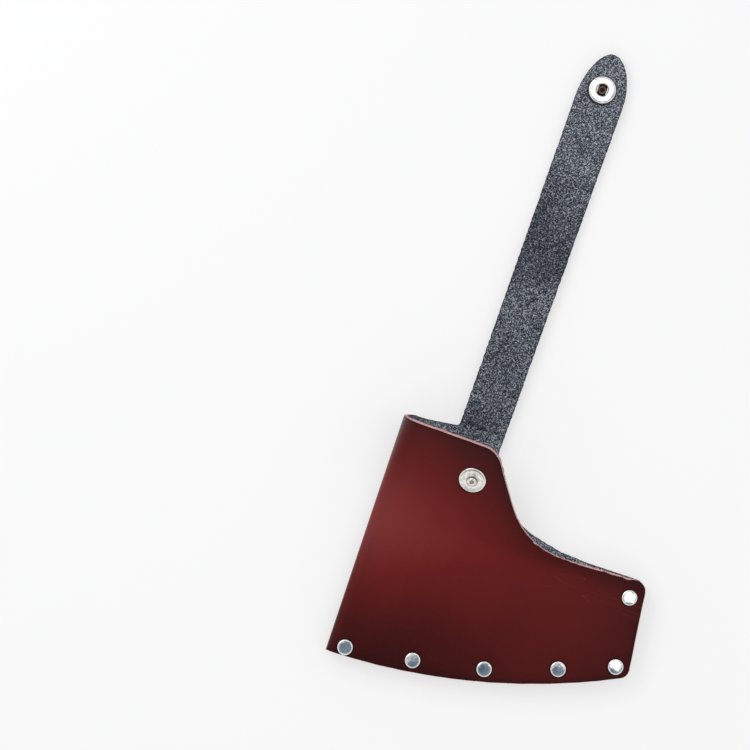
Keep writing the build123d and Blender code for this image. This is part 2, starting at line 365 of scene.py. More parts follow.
# %% Nickel plate and spring wire
# Brown of tarnished plate, also used as painted shade in the hollows.
TARNISH_AND_SHADE = srgb(96, 60, 32)


def plated(tint, rough, dent=3.2, worn=0.84):
    """Plate with dents about dent millimetres across, its tint times worn where rubs wear it."""
    def build(maker, place):
        tarnish = attribute(maker, "tarnish")
        wear = grain(maker, place, dent * MM, 2, 0.6)
        rubs = grain(maker, place, 0.5 * MM, 2, 0.6, (1, 0.08, 1), math.radians(35))
        bright = maker.mix(wear.over(0.35, 0.65), (*(c * worn for c in tint[:3]), 1), tint)
        return {
            "Base Color": maker.mix(tarnish, bright, TARNISH_AND_SHADE),
            "Metallic": 1.0,
            "Roughness": rough + (wear - 0.5) * 0.16 + (rubs - 0.5) * 0.1 + tarnish * 0.3,
            "Normal": bumped(maker, wear + rubs * 0.1, 0.07 * MM),
        }
    return build


nickel_finish = finish("nickel_plate", plated(srgb(240, 238, 235), 0.11))
stud_finish = finish("rubbed_nickel", plated(srgb(250, 248, 242), 0.2, 1.3, 0.7))
wire_finish = finish("spring_wire", plated(srgb(236, 234, 229), 0.28))
print("finishes:", [material.name for material in bpy.data.materials])

# %% [markdown]
# ## The blank, cut flat
# A real sheath starts as one flat piece of lined leather: front panel, fold, back panel and the
# root of the strap. It is cut flat, so its edges stand square to the sheet after folding. Here
# the blank is drawn flat too. The front lies to the right of the fold line and the back to the
# left; heights come later, when the tree folds it.

# %% Sizes of the blank, in millimetres
SHEET = {"leather": (0.0, 2.0), "lining": (2.0, 2.6)}  # depths under the outer face
SEAM = 7.7  # riveted edge, outer face to outer face
HEM_RADIUS = 322.0
WIDTH = 144.5
HEM_END = WIDTH - 6  # the hem's arc stops here, short of the heel's corner
HEEL = (139.0, 80.9)
FRONT_NECK, FRONT_SHOULDER = (75.9, 78.6), (48.3, 119.1)
FRONT_RADII = (5, 6, 38, 13)  # heel's foot and top, neck, shoulder
BACK_NECK, BACK_FALL = (85.8, 80.9), 0.466  # the back's neck and its slope to the strap
BACK_RADII = (5, 6, 100, 20, 4, 4, 1.5)  # heel's foot and top, neck, strap's foot, spare end, mouth
MOUTH_FRONT, MOUTH_BACK, MOUTH_CLIMB = 119.9, 122.85, 0.078  # the mouth's edges, the back's slope
BULGE_START, MOUTH_RISE = 64.0, 23.0  # where the front begins to rise, its rise at the mouth
CROWN, BULGE_END = 50.0, 130.0  # across, the bulge is full up to the one and gone at the other
FOLD_HALF, FOLD_OPEN = SEAM / 2, 10.0  # half-width of the fold at the hem and at the mouth
WRAP = 9.0  # flat width given to each half of the fold
TURN_STEPS = 16  # steps of the mouth's edge round the fold
ROOT = 127.0  # where the strap begins
SPARE = 5.0  # sheets are drawn this far past a cut, then trimmed
STRAP_SIDES = {-1: (11.5, 0.0149), 1: (12.3, 0.0214)}  # reach from the snap, lean of the edge
SNAP = (41.4, 303.3)  # the socket's axis on the strap
STUD_Y = 102.0  # the stud's, in line with it on the front panel
TIP = 18.2  # from the socket to the strap's point
SHOULDERS = {-1: (6.3, 0.48), 1: (5.0, 0.53)}  # where the tip's curves start, their fullness

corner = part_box("sheath_leather")[0] / MM
ORIGIN = Vector((corner.x, corner.y))  # lower corner of the fold
BACK_FACE = corner.z
RIVET_NUMBERS = range(1, 7)
RIVETS = []
for number in RIVET_NUMBERS:
    low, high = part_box(f"rivet_cap_{number}")
    RIVETS.append(Vector(((low.x + high.x) / 2, (low.y + high.y) / 2)) / MM - ORIGIN)
print("fold corner:", ORIGIN, "rivets:", len(RIVETS))


# %% Points along the outlines
def rise(y):
    """How far the front panel stands up at a height y."""
    return MOUTH_RISE * (max(0.0, y - BULGE_START) / (MOUTH_FRONT - BULGE_START)) ** 2


def fold_turn(y):
    """Half-width of the fold at a height y, wider where the mouth is open."""
    return FOLD_HALF + (FOLD_OPEN - FOLD_HALF) * rise(y) / MOUTH_RISE


def hem(x):
    """The cutting edge's arc."""
    return HEM_RADIUS - math.sqrt(HEM_RADIUS**2 - x * x)


def strap_edge(y, side):
    """Where the strap's edge is at a height y, on side 1 or -1."""
    reach, lean = STRAP_SIDES[side]
    return SNAP[0] - lean * (SNAP[1] - y) + side * reach


def rounded(points, radii):
    """Path through corners, each rounded by its radius; ends stay sharp."""
    path = [Vector(points[0])]
    for before, at, after, radius in zip(points, points[1:], points[2:], radii):
        before, at, after = Vector(before), Vector(at), Vector(after)
        back, on = (before - at).normalized(), (after - at).normalized()
        half = back.angle(on) / 2
        centre = at + (back + on).normalized() * (radius / math.sin(half))
        start = at + back * (radius / math.tan(half))
        end = at + on * (radius / math.tan(half))
        sweep = (start - centre).angle_signed(end - centre)
        steps = max(3, math.ceil(abs(sweep) / math.radians(9)))
        arm = start - centre
        for step in range(steps + 1):
            path.append(centre + Matrix.Rotation(-sweep * step / steps, 2) @ arm)
    return path + [Vector(points[-1])]


def walked(path, step):
    """The path again, with no run longer than step."""
    out = [path[0]]
    for a, b in zip(path, path[1:]):
        parts = max(1, math.ceil((b - a).length / step))
        out += [a.lerp(b, i / parts) for i in range(1, parts + 1)]
    return out


# %% Outlines of the two panels
HEM_POINTS = 120


def hem_path():
    """The cutting edge, from the fold to the heel's corner."""
    return [Vector((x, hem(x))) for x in np.linspace(FOLD_HALF, HEM_END, HEM_POINTS)]


def heel_corner():
    """Where the hem ends, the heel's foot and the heel's top."""
    return [(HEM_END, hem(HEM_END)), (WIDTH, hem(WIDTH)), HEEL]


def front_path():
    """From the fold's hem round the heel to the fold's mouth, on the front panel."""
    tail = [*heel_corner(), FRONT_NECK, FRONT_SHOULDER, (FOLD_OPEN, MOUTH_FRONT)]
    return hem_path() + rounded(tail, FRONT_RADII)[1:]


def back_path():
    """The same on the back panel, by way of the strap's root."""
    right, left, top = strap_edge(ROOT, 1), strap_edge(ROOT, -1), ROOT + SPARE
    foot = (right, BACK_NECK[1] + (BACK_NECK[0] - right) * BACK_FALL)
    tail = [*heel_corner(), BACK_NECK, foot, (right, top), (left, top),
            (left, MOUTH_BACK + MOUTH_CLIMB * left), (fold_turn(MOUTH_BACK), MOUTH_BACK)]
    return hem_path() + rounded(tail, BACK_RADII)[1:]


# %% One closed outline for the whole blank
def laid_flat(path, side):
    """Moves a panel's path to the flat blank: side 1 is the front, -1 the back."""
    return [Vector((side * (p.x - fold_turn(p.y) + WRAP), p.y)) for p in path]


front = laid_flat(front_path(), 1)
back = laid_flat(back_path(), -1)
mouth_turn = []
for step in range(1, TURN_STEPS):
    share = step / TURN_STEPS
    level = math.sin(math.radians(90 - 180 * share))
    past_seam = max(0.0, 0.5 * (SEAM + MOUTH_RISE) * (1 + level) - SEAM / 2)
    y = MOUTH_BACK - (MOUTH_BACK - MOUTH_FRONT) * past_seam / (SEAM / 2 + MOUTH_RISE)
    mouth_turn.append(Vector((WRAP * (1 - 2 * share), y)))
BLANK = front + mouth_turn + back[::-1]
print("outline of the blank:", len(BLANK), "points")

# %% [markdown]
# ## From an outline to a sheet with soft edges
# Leather isn't cut like sheet metal: its edge is a little rounded, in places bevelled, and
# never quite straight. The mesh is built in rings that step in from the outline, which hold
# the rounding, and a grid of points inside them. A constrained triangulation joins them for
# the outer and the inner face, and a wall closes the sheet. Between rivets the leather stands
# a little proud, because metal presses it down.


# %% Loops cut by hand
CLOSEST = 0.35  # share of a step; a point nearer than this to the last one is dropped
BLUNTEST = 0.6  # cosine past which a corner's normal is stretched no further
TINY = 1e-9


def wander(point, seed, size, span):
    """Small smooth shift of a cut edge, in millimetres."""
    return size * noise.noise(Vector((point.x / span, point.y / span, seed)))


def even_loop(path, step):
    """Closed loop with near-even steps and no doubled points."""
    points = walked(path + [path[0]], step)[:-1]
    out = [points[0]]
    for point in points[1:]:
        if (point - out[-1]).length > step * CLOSEST:
            out.append(point)
    if (out[0] - out[-1]).length < step * CLOSEST:
        out.pop()
    return out


def inward(loop):
    """Unit normals that point into a loop, stretched at its corners."""
    pts = np.array([tuple(p) for p in loop])
    before, after = pts - np.roll(pts, 1, 0), np.roll(pts, -1, 0) - pts
    normals = []
    for edge in (before, after):
        n = np.stack([-edge[:, 1], edge[:, 0]], 1)
        normals.append(n / np.linalg.norm(n, axis=1, keepdims=True))
    area = 0.5 * np.sum(pts[:, 0] * np.roll(pts[:, 1], -1) - pts[:, 1] * np.roll(pts[:, 0], -1))
    mean = (normals[0] + normals[1]) * np.sign(area)
    mean /= np.linalg.norm(mean, axis=1, keepdims=True)
    cosine = np.abs(np.sum(mean * normals[0], axis=1))
    return mean / np.maximum(cosine, BLUNTEST)[:, None]


def hand_cut(loop, seed, ragged, shrink):
    """A loop with the wander of a real cut, standing in by shrink(point)."""
    return [p + Vector(n) * (shrink(p) + wander(p, seed, *ragged))
            for p, n in zip(loop, inward(loop))]


def inside(points, loop):
    """Which points lie in a loop, and how far each is from it."""
    pts, ring = np.asarray(points), np.array([tuple(p) for p in loop])
    nxt = np.roll(ring, -1, 0)
    x, y = pts[:, :1], pts[:, 1:]
    edge = nxt - ring
    crosses = (ring[:, 1] > y) != (nxt[:, 1] > y)
    slope = edge[:, 0] / np.where(edge[:, 1] == 0, TINY, edge[:, 1])
    hits = crosses & (x < slope * (y - ring[:, 1]) + ring[:, 0])
    along = ((x - ring[:, 0]) * edge[:, 0] + (y - ring[:, 1]) * edge[:, 1]) / np.maximum(
        np.sum(edge * edge, 1), TINY)
    along = np.clip(along, 0, 1)
    gap = np.hypot(x - ring[:, 0] - along * edge[:, 0], y - ring[:, 1] - along * edge[:, 1])
    return hits.sum(1) % 2 == 1, gap.min(1)


# %% Sheet builder
RINGS = (0.0, 0.12, 0.35, 0.65, 1.0)  # steps of the edge, as shares of its width
DYED = (1, 0.4, 0, 0, 0, 0)  # how much of the cut shows on each ring and on one more inside
BEVELLED = (1, 1, 1, 1, 0.5, 0)
FRAYED = (1, 1, 1, 0.9, 0.7, 0)
ROUNDED, BEVEL = 0.4, 0.8  # width of a rounded edge, and what a full bevel adds to it
LAST_RING, CLEAR = 0.45, 0.95  # past the edge: one more ring, and where the grid begins
INNER_ROUND = 0.2  # the inner face's edge is rounded no deeper than this
EDGE_FADE = 2.6  # distance over which near_edge falls to a third
SWELL = 0.28  # how far leather stands proud between the places that metal presses


def added(name, data):
    """New object in the scene."""
    thing = bpy.data.objects.new(name, data)
    bpy.context.scene.collection.objects.link(thing)
    return thing


def edge_rings(loop, thick, edge, bevel):
    """Rings that step in from a loop: their places, gaps from the loop, drops below the face
    and shares of bare cut, and the width of the widest edge."""
    normal = inward(loop)
    base = np.array([tuple(p) for p in loop])
    share = np.array([bevel(p) if bevel else 0.0 for p in loop])
    width = min(ROUNDED, thick * 0.45) + BEVEL * share
    depth = np.minimum(width, thick * 0.5)
    rings, gaps, drops, fades = [], [], [], []
    for ring, dyed, bare in zip((*RINGS, None), edge, BEVELLED):
        inset = width + LAST_RING if ring is None else width * ring
        left = 0.0 if ring is None else 1 - ring
        rings.append(base + normal * inset[:, None])
        gaps.append(inset)
        drops.append(depth * ((1 - share) * (1 - math.sqrt(1 - left**2)) + share * left))
        fades.append(dyed * (1 - share) + bare * share)
    return rings, gaps, drops, fades, width.max()


def sheet_mesh(name, loop, depths, inner_points, edge, bevel=None, lift=None):
    """Closed sheet between two depths. Its edge is a small round, or where bevel(point) is 1 a
    bevel that bares the core. The mesh holds (across, along, depth), and attributes for the
    finish: cut_edge is 1 on the cut, near_edge fades from it, pressed is 1 under metal."""
    outer, inner = depths
    count = len(loop)
    rings, gaps, drops, fades, widest = edge_rings(loop, inner - outer, edge, bevel)
    ok, gap = inside(inner_points, loop)
    ok &= gap > widest + CLEAR
    free = np.asarray(inner_points)[ok]
    flat = np.concatenate(rings + [free])
    gap = np.concatenate(gaps + [gap[ok]])
    drop = np.concatenate(drops + [np.zeros(len(free))])
    fade = np.concatenate(fades + [np.zeros(len(free))])
    edges = [(k * count + i, k * count + (i + 1) % count)
             for k in range(len(rings)) for i in range(count)]
    verts, _, faces, source, _, _ = delaunay_2d_cdt([Vector(p) for p in flat], edges, [], 1, 1e-6)
    order = [s[0] for s in source]
    flat = np.array([tuple(v) for v in verts])
    drop, fade, gap = drop[order], fade[order], gap[order]
    raised = lift(flat) if lift else np.zeros(len(flat))
    top = np.column_stack([flat, outer + drop - raised])
    low = np.column_stack([flat, inner - np.minimum(drop, INNER_ROUND) - raised])
    size = len(flat)
    place = {s: i for i, s in enumerate(order)}
    rim = [place[i] for i in range(count)]
    wall = [(rim[i], rim[(i + 1) % count], size + rim[(i + 1) % count], size + rim[i])
            for i in range(count)]
    under = [tuple(size + i for i in reversed(face)) for face in faces]
    mesh = bpy.data.meshes.new(name)
    mesh.from_pydata([tuple(v) for v in np.concatenate([top, low])], [],
                     [tuple(face) for face in faces] + under + wall)
    pressed = 1 - raised / SWELL if lift else raised
    carried = {"cut_edge": fade, "near_edge": np.exp(-gap / EDGE_FADE), "pressed": pressed}
    for label, values in carried.items():
        both = np.concatenate([values, values]).astype(np.float32)
        mesh.attributes.new(label, "FLOAT", "POINT").data.foreach_set("value", both)
    return added(name, mesh)


# %% Closing and trimming
@contextmanager
def opened(mesh):
    """The mesh as a bmesh, written back at the end."""
    work = bmesh.new()
    work.from_mesh(mesh)
    yield work
    work.to_mesh(mesh)
    work.free()


def tidy(piece):
    """Outward faces and smooth shading, but flat on the many-sided faces that close a cut."""
    with opened(piece.data) as work:
        bmesh.ops.recalc_face_normals(work, faces=work.faces)
        for face in work.faces:
            face.smooth = len(face.verts) < 5


def trim(piece, line, side):
    """Cuts a sheet straight across at y = line, drops what lies on that side and closes it."""
    with opened(piece.data) as work:
        cut = bmesh.ops.bisect_plane(
            work, geom=work.verts[:] + work.edges[:] + work.faces[:], dist=1e-7,
            plane_co=(0, line, 0), plane_no=(0, side, 0), clear_outer=True)
        rim = [part for part in cut["geom_cut"] if isinstance(part, bmesh.types.BMEdge)]
        bmesh.ops.edgeloop_fill(work, edges=rim)


# %% Grid and pressed places of the blank
RIVET_RADIUS = 4.0
STUD_RADIUS, STUD_SLIP = 6.1, 0.25  # the stud leans, so its foot is a little below its axis
FINE, COARSE = 0.9, 2.0  # distances between points across the fold, and elsewhere
PRESS_RINGS = (-0.3, 0.05, 0.4, 0.9, 1.6, 2.5)  # rings of points, past the metal's radius
PRESS_CLEAR = 3.2  # the grid keeps this far from the metal


def pressed_places():
    """Centres and radii of what is clamped on the leather, on the flat blank."""
    places = []
    for rivet in RIVETS:
        across = rivet.x - fold_turn(rivet.y) + WRAP
        places += [(across, rivet.y, RIVET_RADIUS), (-across, rivet.y, RIVET_RADIUS)]
    places.append((SNAP[0] - fold_turn(STUD_Y) + WRAP, STUD_Y - STUD_SLIP, STUD_RADIUS))
    return places


def blank_points():
    """Inner points: close together across the fold and round the metal."""
    across = list(np.arange(-WRAP - 3, WRAP + 3, FINE))
    across += [s * x for s in (1, -1) for x in np.arange(WRAP + 4, WIDTH + WRAP, COARSE)]
    grid = np.array([(x, y + (0.5 if i % 2 else 0)) for i, x in enumerate(sorted(across))
                     for y in np.arange(0.5, ROOT + SPARE, COARSE)])
    rings = []
    for x, y, radius in pressed_places():
        away = np.hypot(grid[:, 0] - x, grid[:, 1] - y)
        grid = grid[away > radius + PRESS_CLEAR]
        for r in (0.0, radius * 0.5, *(radius + past for past in PRESS_RINGS)):
            n = max(1, int(2 * math.pi * r / FINE))
            rings += [(x + r * math.cos(a), y + r * math.sin(a))
                      for a in np.linspace(0, 2 * math.pi, n, endpoint=False)]
    return np.concatenate([grid, np.array(rings)])


def swell(flat):
    """Leather stands a little proud except where metal presses it."""
    out = np.full(len(flat), SWELL)
    for x, y, radius in pressed_places():
        away = np.maximum(0, np.hypot(flat[:, 0] - x, flat[:, 1] - y) - radius)
        out *= 1 - np.exp(-(away**2))
    return out


# %% [markdown]
# ## Folding with Geometry Nodes
# The shape of the folded blank follows a rule: half an ellipse at the fold, and a crown that
# rises in a parabola towards the mouth. A rule like that suits Geometry Nodes: the tree reads
# each point's place on the flat blank, works out where it goes, and its inputs stay open to
# change. At the end the result is turned into a plain mesh.


# %% A tree with named inputs, and its result as a mesh
def geometry_tree(name, inputs):
    """New tree with a Geometry input and the named ones; gives its maker and sockets."""
    tree = bpy.data.node_groups.new(name, "GeometryNodeTree")
    tree.interface.new_socket("Geometry", in_out="INPUT", socket_type="NodeSocketGeometry")
    for label, kind in inputs.items():
        tree.interface.new_socket(label, in_out="INPUT", socket_type="NodeSocket" + kind)
    tree.interface.new_socket("Geometry", in_out="OUTPUT", socket_type="NodeSocketGeometry")
    maker = Maker(tree)
    return maker, maker.node("NodeGroupInput")


def end_tree(maker, geometry, material):
    """Realize Instances, Set Material and the output."""
    solid = maker.node("GeometryNodeRealizeInstances", {}, {"Geometry": geometry})["Geometry"]
    dressed = maker.node("GeometryNodeSetMaterial", {}, {"Geometry": solid, "Material": material})
    maker.node("NodeGroupOutput", {}, {"Geometry": dressed["Geometry"]})
    return maker.tree


def grown(piece, tree, values):
    """Runs a tree on a piece and keeps the result as the piece's plain mesh."""
    modifier = piece.modifiers.new(tree.name, "NODES")
    modifier.node_group = tree
    for item in tree.interface.items_tree:
        if item.in_out == "INPUT" and item.name in values:
            modifier[item.identifier] = values[item.name]
    bpy.context.view_layer.update()
    evaluated = piece.evaluated_get(bpy.context.evaluated_depsgraph_get())
    mesh = bpy.data.meshes.new_from_object(evaluated)
    mesh.name = piece.name
    piece.modifiers.remove(modifier)
    piece.data = mesh


# %% The folding tree
FOLD_SIZES = {  # its number inputs, in millimetres
    "Back face": BACK_FACE, "Seam": SEAM, "Bulge start": BULGE_START, "Mouth rise": MOUTH_RISE,
    "Mouth front": MOUTH_FRONT, "Crown": CROWN, "Bulge end": BULGE_END, "Fold half": FOLD_HALF,
    "Fold open": FOLD_OPEN, "Wrap": WRAP, "Ripple": 1.2,
}
EASING = 0.053  # how softly the bulge begins and ends between the crown and the heel
maker, given = geometry_tree("fold_blank", {
    **dict.fromkeys(FOLD_SIZES, "Float"), "Corner": "Vector", "Finish": "Material",
})
flat = maker.node("ShaderNodeSeparateXYZ", {}, {
    "Vector": maker.node("GeometryNodeInputPosition")["Position"],
})
across, along, depth = flat["X"], flat["Y"], flat["Z"]
# Towards the mouth the front rises in a parabola and the fold opens with it.
zone = (along - given["Bulge start"]).at_least(0)
span = given["Mouth front"] - given["Bulge start"]
lifted = given["Mouth rise"] * (zone / span) ** 2
turn = given["Fold half"] + (given["Fold open"] - given["Fold half"]) * (zone / span) ** 2
# Round the fold, from the back at -90 degrees to the front at 90; the rest lies beyond it.
angle = (across / given["Wrap"]).at_least(-1).at_most(1) * (math.pi / 2)
level = angle.math("SINE", angle)
beyond = (abs(across) - given["Wrap"]).at_least(0)
out_x = turn + beyond
# The rise is whole up to the crown and eases away towards the heel.
reach = ((out_x - given["Crown"]) / (given["Bulge end"] - given["Crown"])).at_least(0).at_most(1)
swing = reach * (2 * math.pi)
eased = reach - swing.math("SINE", swing) * EASING
share = 1 - eased * eased * (3 - eased * 2)
# Depth is measured square to the risen sheet.
slope = share * lifted * 2 / zone.at_least(1e-6)
lean = 1 / (slope * slope + 1) ** 0.5
high = given["Seam"] + lifted * share - depth * lean
# The loose middle ripples a little.
ripple = maker.node("ShaderNodeTexNoise", {}, {
    "Vector": maker.node("GeometryNodeInputPosition")["Position"], "Scale": 45.0, "Detail": 1.0,
})["Fac"]
loose = along.over(45 * MM, 120 * MM) * level.at_least(0) * share
middle = (high + depth) / 2 + (ripple - 0.5) * given["Ripple"] * loose
folded = maker.node("ShaderNodeCombineXYZ", {}, {
    "X": out_x - (turn - depth) * angle.math("COSINE", angle),
    "Y": along + depth * slope * lean * level.at_least(0),
    "Z": given["Back face"] + middle + (high - depth) / 2 * level,
})["Vector"]
placed = maker.node("ShaderNodeVectorMath", {"operation": "ADD"}, {0: folded, 1: given["Corner"]})
moved = maker.node("GeometryNodeSetPosition", {}, {
    "Geometry": given["Geometry"], "Position": placed["Vector"],
})
folding = end_tree(maker, moved["Geometry"], given["Finish"])
print("folding tree:", len(folding.nodes), "nodes")


# %% Fold the leather and the lining
def between(value, low, high):
    """0 below low, 1 above high, and smooth between."""
    share = min(1.0, max(0.0, (value - low) / (high - low)))
    return share * share * (3 - 2 * share)


def neck_bevel(point):
    """The front's neck is bevelled where a hand meets it, and hardly where it is steep."""
    if point.x < WRAP:
        return 0.0
    steep = between(point.y, 82, 93)
    heel = between(point.y, 76, 78.5) * (1 - between(point.x, 134, 141))
    heel *= 0.4 + 0.2 * between(point.x, 98, 116)
    ragged = 1 + 0.5 * noise.noise(Vector((point.x / 4, point.y / 4, 2.0)))
    return (heel * (1 - steep) + 0.1 * steep) * ragged


EVEN, RAGGED = (0.16, 7.0), (0.3, 1.5)  # size and span of an edge's wander
LOOP_STEP = 1.0


def folded_layer(layer, material, seed, shrink, ragged, edge, bevel=None):
    """One layer; shrink gives how far its edge stands in on the front and on the back."""
    loop = hand_cut(even_loop(BLANK, LOOP_STEP), seed, ragged,
                    lambda point: shrink[0 if point.x > 0 else 1])
    piece = sheet_mesh(f"folded_{layer}", loop, SHEET[layer], blank_points(), edge, bevel, swell)
    trim(piece, ROOT, 1)
    piece.data.transform(Matrix.Scale(MM, 4))
    tidy(piece)
    grown(piece, folding, {
        **{label: size * MM for label, size in FOLD_SIZES.items()},
        "Corner": (ORIGIN.x * MM, ORIGIN.y * MM, 0), "Finish": material,
    })
    tidy(piece)
    print(piece.name, len(piece.data.polygons), "faces")
    return piece


sheath_leather = folded_layer("leather", leather_finish, 3.0, (0, 0.1), EVEN, DYED, neck_bevel)
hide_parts("sheath_leather")
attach(sheath_leather, "sheath")

sheath_lining = folded_layer("lining", lining_finish, 8.0, (0.1, -0.12), RAGGED, FRAYED)
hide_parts("sheath_lining")
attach(sheath_lining, "sheath")

# %% [markdown]
# ## The strap, length by length
# The strap is one strip in life, but it has to bend at seven places. So one flat sheet is made
# for the whole strap, and each length is a copy of it, trimmed on its two bend lines.

# %% Outline of the strap
BENDS = [ROOT, 185.0, 194.0, 203.0, 212.0, 221.0, 271.3]
NUMBERS = range(1, len(BENDS) + 1)
FREE_START, FREE_END, SETTLE = 130, 295, 25  # the strap's waves grow and fade over SETTLE
WAVES = ((0.55, 128, 27.0), (0.25, 120, 11.5))  # height, start and length of each
STRAP_FOOT, FOOT_RADIUS = 38.5, 4  # middle and corner radius of the spare end
STRAP_STEP, TIP_POINTS = 1.2, 24  # distance between points on a side, and points on the tip
STRAP_LEFT, STRAP_RIGHT, STRAP_TOP = 20, 60, 322  # a box that holds the whole strap
GRID_ACROSS, GRID_ALONG = 2.0, 1.5  # distances between its inner points


def sag(y):
    """The strap lies in shallow waves between its root and its tip."""
    free = min(1.0, max(0.0, (y - FREE_START) / SETTLE))
    free *= min(1.0, max(0.0, (FREE_END - y) / SETTLE))
    return free * sum(height * math.sin((y - start) / length) for height, start, length in WAVES)


def strap_side(side):
    """One side of the strap, from below the root to the tip's point."""
    start, fullness = SHOULDERS[side]
    low, high = ROOT - SPARE, SNAP[1] - start
    path = rounded([(STRAP_FOOT, low), (strap_edge(low, side), low),
                    (strap_edge(ROOT, side), ROOT)], (FOOT_RADIUS,))
    path += [Vector((strap_edge(y, side), y))
             for y in np.arange(ROOT + STRAP_STEP, high, STRAP_STEP)]
    turn, tip = Vector((strap_edge(high, side), high)), Vector((SNAP[0], SNAP[1] + TIP))
    pull = turn.lerp(Vector((turn.x, tip.y)), fullness)
    over = tip.lerp(Vector((turn.x, tip.y)), fullness)
    for t in np.linspace(0, 1, TIP_POINTS):
        u = 1 - t
        path.append(turn * u**3 + pull * 3 * u * u * t + over * 3 * u * t * t + tip * t**3)
    return path


def strap_sheet(layer, seed, shrink, ragged, edge):
    """The whole strap in one sheet, still flat."""
    loop = even_loop(strap_side(1) + strap_side(-1)[-2:0:-1], LOOP_STEP)
    loop = hand_cut(loop, seed, ragged, lambda point: shrink)
    points = np.array([(x, y) for x in np.arange(STRAP_LEFT, STRAP_RIGHT, GRID_ACROSS)
                       for y in np.arange(ROOT, STRAP_TOP, GRID_ALONG)])
    return sheet_mesh("strap_" + layer, loop, SHEET[layer], points, edge)


# %% Strap lengths
def strap_piece(number, layer, whole, material):
    """One length of a layer, cut from the whole and set in place."""
    near, last = BENDS[number - 1], number == len(BENDS)
    far = SNAP[1] if last else BENDS[number]
    piece = added(f"{layer}_strap_{number}", whole.data.copy())
    trim(piece, near, -1)
    if not last:
        trim(piece, far, 1)
    co = np.array([v.co for v in piece.data.vertices])
    co[:, 0] += ORIGIN.x
    wave = np.array([sag(y) for y in co[:, 1]])
    co[:, 1] += ORIGIN.y
    co[:, 2] += BACK_FACE + wave
    piece.data.vertices.foreach_set("co", (co * MM).ravel())
    tidy(piece)
    piece.data.materials.append(material)
    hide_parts(f"strap_{layer}_{number}")
    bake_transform(piece)
    return piece


strap = []
for layer, material, seed, shrink, ragged, edge in (
        ("leather", leather_finish, 5.0, 0.1, EVEN, DYED),
        ("lining", lining_finish, 6.0, -0.12, RAGGED, FRAYED)):
    whole = strap_sheet(layer, seed, shrink, ragged, edge)
    strap += [strap_piece(number, layer, whole, material) for number in NUMBERS]
    bpy.data.objects.remove(whole)
print("strap pieces:", len(strap))

# %% [markdown]
# ## Turned metal
# Rivets and snap parts are pressed from sheet and are round, so each is a profile turned about
# its axis. A profile is a few points, each a radius, a height and, in the hollows, how far the
# metal is tarnished and darkened with painted shade. Corners are eased so that the light rolls
# over them.


# %% Lathe
def eased_profile(points, radius):
    """Profile of (radius, height, tarnish) points with its inner corners rounded."""
    points = [Vector((*point, 0.0)[:3]) for point in points]
    path = [points[0]]
    for before, at, after in zip(points, points[1:], points[2:]):
        reach = min(radius, (before - at).length * 0.45, (after - at).length * 0.45)
        start = at + (before - at).normalized() * reach
        end = at + (after - at).normalized() * reach
        for t in (0, 0.2, 0.4, 0.6, 0.8, 1):
            path.append(start * (1 - t) ** 2 + at * 2 * (1 - t) * t + end * t * t)
    return path + [points[-1]]


def lathe_mesh(name, profile, segments=72):
    """Turned shell from a profile; where it meets the axis it closes in a point."""
    verts, rows, darkening = [], [], []
    for radius, height, tarnish in profile:
        if radius < 1e-6:
            rows.append([len(verts)] * segments)
            verts.append((0, 0, height))
            darkening.append(tarnish)
        else:
            rows.append(list(range(len(verts), len(verts) + segments)))
            darkening += [tarnish] * segments
            verts += [(radius * math.cos(a), radius * math.sin(a), height)
                      for a in np.linspace(0, 2 * math.pi, segments, endpoint=False)]
    faces = []
    for low, high in zip(rows, rows[1:]):
        for i in range(segments):
            j = (i + 1) % segments
            face = []
            for v in (low[i], low[j], high[j], high[i]):
                if v not in face:
                    face.append(v)
            if len(face) > 2:
                faces.append(face)
    mesh = bpy.data.meshes.new(name)
    mesh.from_pydata(verts, [], faces)
    mesh.attributes.new("tarnish", "FLOAT", "POINT").data.foreach_set("value", darkening)
    return mesh


def turned_piece(name, profile, seat, easing, material, closed=True):
    """Turned piece set on a seat matrix, in millimetres."""
    points = eased_profile(profile, easing)
    if closed:
        points.append(points[0])
    piece = added(name, lathe_mesh(name, points))
    with opened(piece.data) as work:
        bmesh.ops.remove_doubles(work, verts=work.verts, dist=1e-5)
    piece.data.transform(Matrix.Scale(MM, 4) @ seat)
    tidy(piece)
    piece.data.materials.append(material)
    return piece


# %% [markdown]
# ## Six rivets, one tree
# The rivets are all alike, so one cap is turned and Geometry Nodes set it on the six points,
# each tipped a degree or two as hand-set rivets are. The same tree, with the points on the
# other face, makes the caps behind.

# %% The rivet cap and its tree
SPIN = 40  # a cap is also turned about its axis, by up to this many times its tilt
CAP_PROFILE = [(0, 1.5), (1.2, 1.49), (2.2, 1.467), (3.3, 1.425), (3.72, 1.2), (3.95, 0.75),
               (4.0, 0.35), (3.97, 0.02), (3.7, -0.12, 1), (1.7, -0.12, 1), (1.65, -3.4), (0, -3.4)]
cap = added("rivet_cap", lathe_mesh("rivet_cap", eased_profile(CAP_PROFILE, 0.35), 56))
cap.data.transform(Matrix.Scale(MM, 4))
tidy(cap)

